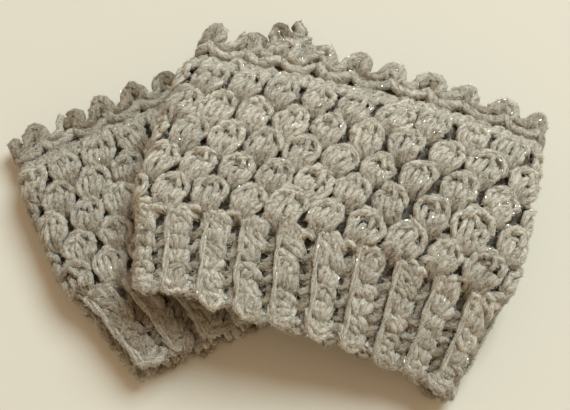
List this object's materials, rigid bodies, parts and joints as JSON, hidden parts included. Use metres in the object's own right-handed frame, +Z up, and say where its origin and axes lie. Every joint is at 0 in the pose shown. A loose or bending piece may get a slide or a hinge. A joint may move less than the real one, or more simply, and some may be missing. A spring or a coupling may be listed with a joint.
{
  "type": "pair of crocheted boot cuffs",
  "caption": "Pair of crocheted boot cuffs lying flat, one across the other, each with a ribbed band, a body of cluster stitches and a picot edging.",
  "frame": {"origin": "on the surface that the pair lies on, under the centre of its box", "axes": "+X to the right of someone facing the hems, +Y away from them towards the picot edgings, +Z up"},
  "size_m": [0.2278, 0.1707, 0.0395],
  "materials": {
    "rib_band_yarn": "matte heathered yarn with a fine silvery thread",
    "cluster_body_yarn": "matte heathered yarn with a fine silvery thread",
    "picot_edging_yarn": "matte heathered yarn with a fine silvery thread"
  },
  "bodies": {
    "root": {"back_cuff_rib_band": "rib_band_yarn", "back_cuff_cluster_body": "cluster_body_yarn", "back_cuff_picot_edging": "picot_edging_yarn", "front_cuff_rib_band": "rib_band_yarn", "front_cuff_cluster_body": "cluster_body_yarn", "front_cuff_picot_edging": "picot_edging_yarn"}
  },
  "joints": []
}
